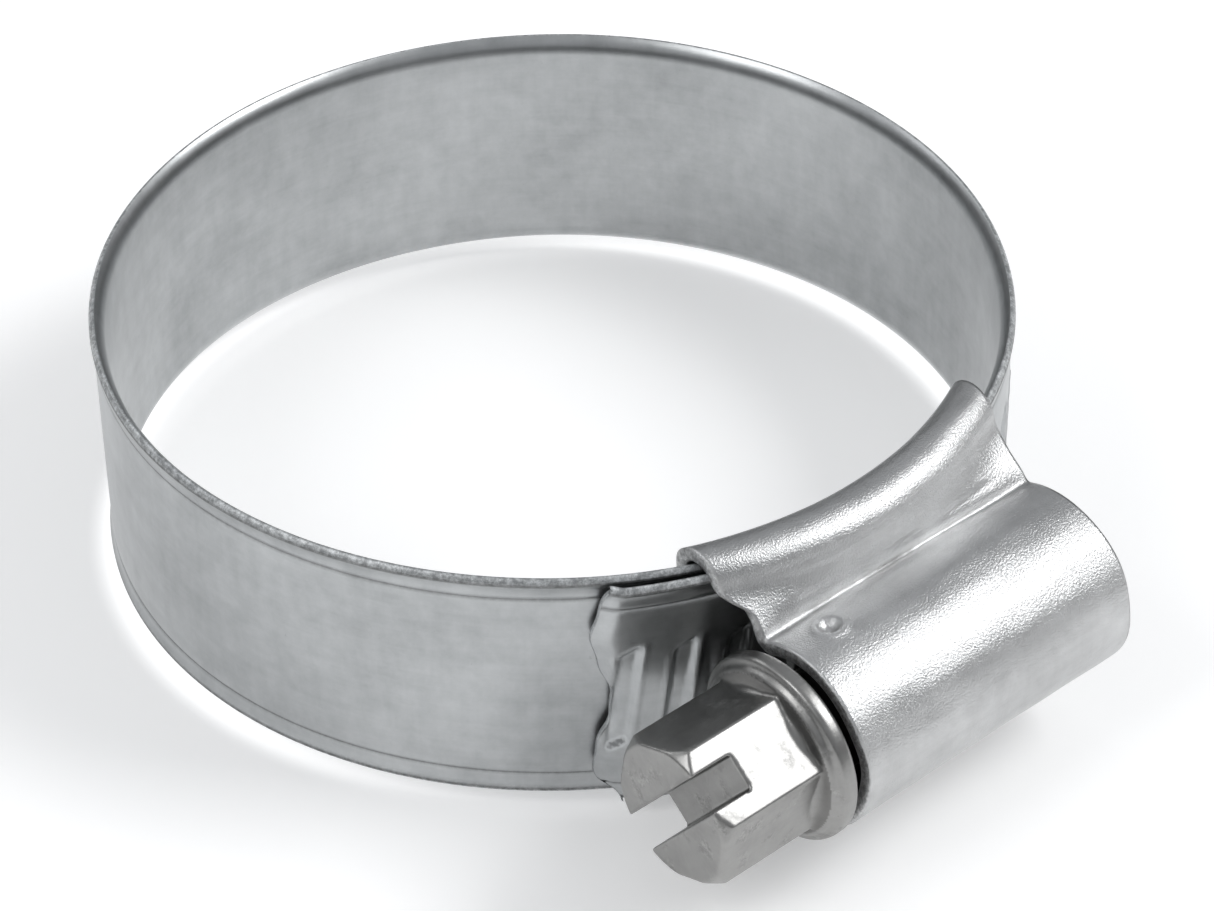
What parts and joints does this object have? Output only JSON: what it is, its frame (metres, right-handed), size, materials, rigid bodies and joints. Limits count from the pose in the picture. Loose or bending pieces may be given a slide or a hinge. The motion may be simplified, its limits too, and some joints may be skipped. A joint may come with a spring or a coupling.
{
  "type": "hose clamp",
  "caption": "Worm-drive hose clamp: rolled-edge band, pressed housing and slotted hex-head screw; turning the screw tightens the loop.",
  "frame": {"origin": "centre of the clamping circle at the middle of the band's width", "axes": "+Z along the hose; the housing is on the -Y side; the screw lies along X with its head towards -X"},
  "size_m": [0.0441, 0.0527, 0.0146],
  "materials": {
    "band_zinc": "satin zinc plate",
    "housing_zinc": "bright zinc plate",
    "screw_zinc": "dull zinc plate"
  },
  "bodies": {
    "housing": {"housing": "housing_zinc", "band_head": "band_zinc"},
    "screw": {"screw": "screw_zinc"},
    "tail": {"band_tail": "band_zinc"},
    "link_01": {"band_link_01": "band_zinc"},
    "link_02": {"band_link_02": "band_zinc"},
    "link_03": {"band_link_03": "band_zinc"},
    "link_04": {"band_link_04": "band_zinc"},
    "link_05": {"band_link_05": "band_zinc"},
    "link_06": {"band_link_06": "band_zinc"},
    "link_07": {"band_link_07": "band_zinc"}
  },
  "joints": [
    {"name": "screw_turn", "type": "hinge", "parent": "housing", "child": "screw", "pos_m": [0, -0.02645, 0], "axis": [1, 0, 0], "range_deg": [-315, 1440]},
    {"name": "band_feed", "type": "hinge", "parent": "housing", "child": "tail", "pos_m": [0, -0.00075, 0], "axis": [0, 0, 1], "range_deg": [-25.82, 5.65]},
    {"name": "loop_bend_01", "type": "hinge", "parent": "tail", "child": "link_01", "pos_m": [0.02058, -0.00824, 0], "axis": [0, 0, 1], "range_deg": [-2.05, 9.37]},
    {"name": "loop_bend_02", "type": "hinge", "parent": "link_01", "child": "link_02", "pos_m": [0.02098, 0.00553, 0], "axis": [0, 0, 1], "range_deg": [-0.49, 2.24]},
    {"name": "loop_bend_03", "type": "hinge", "parent": "link_02", "child": "link_03", "pos_m": [0.01308, 0.01682, 0], "axis": [0, 0, 1], "range_deg": [-0.1139, 0.5173]},
    {"name": "loop_bend_04", "type": "hinge", "parent": "link_03", "child": "link_04", "pos_m": [0, 0.02115, 0], "axis": [0, 0, 1], "range_deg": [-0.1139, 0.5173]},
    {"name": "loop_bend_05", "type": "hinge", "parent": "link_04", "child": "link_05", "pos_m": [-0.01269, 0.01695, 0], "axis": [0, 0, 1], "range_deg": [-0.76, 3.47]},
    {"name": "loop_bend_06", "type": "hinge", "parent": "link_05", "child": "link_06", "pos_m": [-0.02036, 0.00599, 0], "axis": [0, 0, 1], "range_deg": [-1.25, 5.72]},
    {"name": "loop_bend_07", "type": "hinge", "parent": "link_06", "child": "link_07", "pos_m": [-0.01997, -0.00737, 0], "axis": [0, 0, 1], "range_deg": [-0.87, 3.99]}
  ],
  "couplings": [
    {"joint": "band_feed", "follows": "screw_turn", "ratio": -0.017923},
    {"joint": "loop_bend_01", "follows": "screw_turn", "ratio": 0.0065061},
    {"joint": "loop_bend_02", "follows": "screw_turn", "ratio": 0.0015539},
    {"joint": "loop_bend_03", "follows": "screw_turn", "ratio": 0.00035846},
    {"joint": "loop_bend_04", "follows": "screw_turn", "ratio": 0.00035846},
    {"joint": "loop_bend_05", "follows": "screw_turn", "ratio": 0.0024071},
    {"joint": "loop_bend_06", "follows": "screw_turn", "ratio": 0.0039717},
    {"joint": "loop_bend_07", "follows": "screw_turn", "ratio": 0.0027673}
  ]
}
